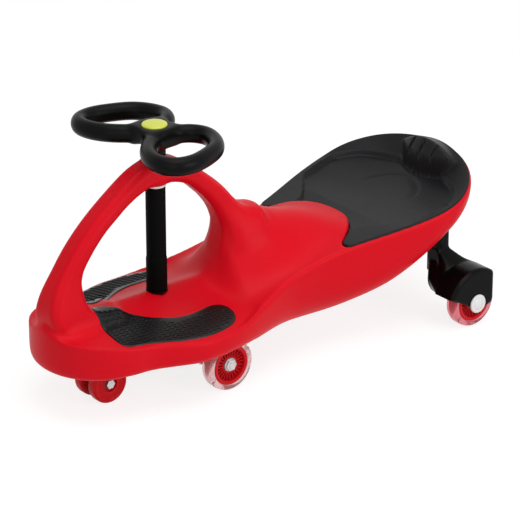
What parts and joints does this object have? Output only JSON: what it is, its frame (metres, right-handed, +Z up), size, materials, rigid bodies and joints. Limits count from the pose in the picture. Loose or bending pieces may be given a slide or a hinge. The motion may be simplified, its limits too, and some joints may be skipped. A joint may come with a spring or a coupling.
{
  "type": "wiggle car",
  "caption": "Ride-on wiggle car with a moulded waisted body, an arch over the steering column, a butterfly steering wheel, a seat liner, foot pads and wheels in housings.",
  "frame": {"origin": "on the ground below the middle of the body's length", "axes": "+X forwards to the nose, +Y to the rider's left, +Z up"},
  "size_m": [0.7608, 0.3464, 0.4055],
  "materials": {
    "body_red": "glossy moulded",
    "seat_charcoal": "satin",
    "pad_black": "textured",
    "white_nylon": "smooth",
    "black_plastic": "smooth",
    "grip_black": "satin",
    "cap_lime": "smooth",
    "steel": "bright zinc",
    "wheel_red": "smooth",
    "rim_red": "glossy",
    "tyre_clear": "translucent",
    "tyre_red": "translucent"
  },
  "bodies": {
    "chassis": {"body_shell": "body_red", "seat": "seat_charcoal", "foot_pad_left": "pad_black", "foot_pad_right": "pad_black", "upper_bush": "white_nylon", "lower_bush": "black_plastic", "base_bush": "white_nylon", "neck_washer": "white_nylon", "front_axle_carrier": "black_plastic", "carrier_screws": "steel", "front_axle": "steel", "front_axle_nuts": "steel", "front_axle_spacers": "steel", "rear_bracket_left": "black_plastic", "rear_bracket_right": "black_plastic", "bracket_screws": "steel", "rear_axle_left": "steel", "rear_axle_right": "steel", "rear_axle_spacers": "steel", "rear_axle_caps": "white_nylon"},
    "steering": {"steering_wheel": "grip_black", "hub_cap": "cap_lime", "wheel_bolt": "steel", "steering_shaft": "steel", "column_sleeve": "black_plastic", "steering_arm": "black_plastic", "arm_nut": "steel", "arm_pin": "steel", "steer_axle": "steel", "steer_axle_nut": "steel", "steer_washers": "steel"},
    "steer_wheel_l": {"steer_wheel_left": "wheel_red", "steer_bearing_left": "steel"},
    "steer_wheel_r": {"steer_wheel_right": "wheel_red", "steer_bearing_right": "steel"},
    "front_wheel_l": {"front_rim_left": "rim_red", "front_tyre_left": "tyre_clear", "front_bearings_left": "steel"},
    "front_wheel_r": {"front_rim_right": "rim_red", "front_tyre_right": "tyre_clear", "front_bearings_right": "steel"},
    "rear_wheel_l": {"rear_rim_left": "rim_red", "rear_tyre_left": "tyre_red", "rear_bearings_left": "steel"},
    "rear_wheel_r": {"rear_rim_right": "rim_red", "rear_tyre_right": "tyre_red", "rear_bearings_right": "steel"}
  },
  "joints": [
    {"name": "steering_turn", "type": "hinge", "parent": "chassis", "child": "steering", "pos_m": [0.17499, 0, 0.2], "axis": [0, 0, 1], "range_deg": [-70, 70]},
    {"name": "steer_spin_l", "type": "hinge", "parent": "steering", "child": "steer_wheel_l", "pos_m": [0.27999, 0.0168, 0.03], "axis": [0, 1, 0], "continuous": true},
    {"name": "steer_spin_r", "type": "hinge", "parent": "steering", "child": "steer_wheel_r", "pos_m": [0.27999, -0.0168, 0.03], "axis": [0, 1, 0], "continuous": true},
    {"name": "front_spin_l", "type": "hinge", "parent": "chassis", "child": "front_wheel_l", "pos_m": [0.11719, 0.0913, 0.04], "axis": [0, 1, 0], "continuous": true},
    {"name": "front_spin_r", "type": "hinge", "parent": "chassis", "child": "front_wheel_r", "pos_m": [0.11719, -0.0913, 0.04], "axis": [0, 1, 0], "continuous": true},
    {"name": "rear_spin_l", "type": "hinge", "parent": "chassis", "child": "rear_wheel_l", "pos_m": [-0.30949, 0.152, 0.04], "axis": [0, 1, 0], "continuous": true},
    {"name": "rear_spin_r", "type": "hinge", "parent": "chassis", "child": "rear_wheel_r", "pos_m": [-0.30949, -0.152, 0.04], "axis": [0, 1, 0], "continuous": true}
  ]
}
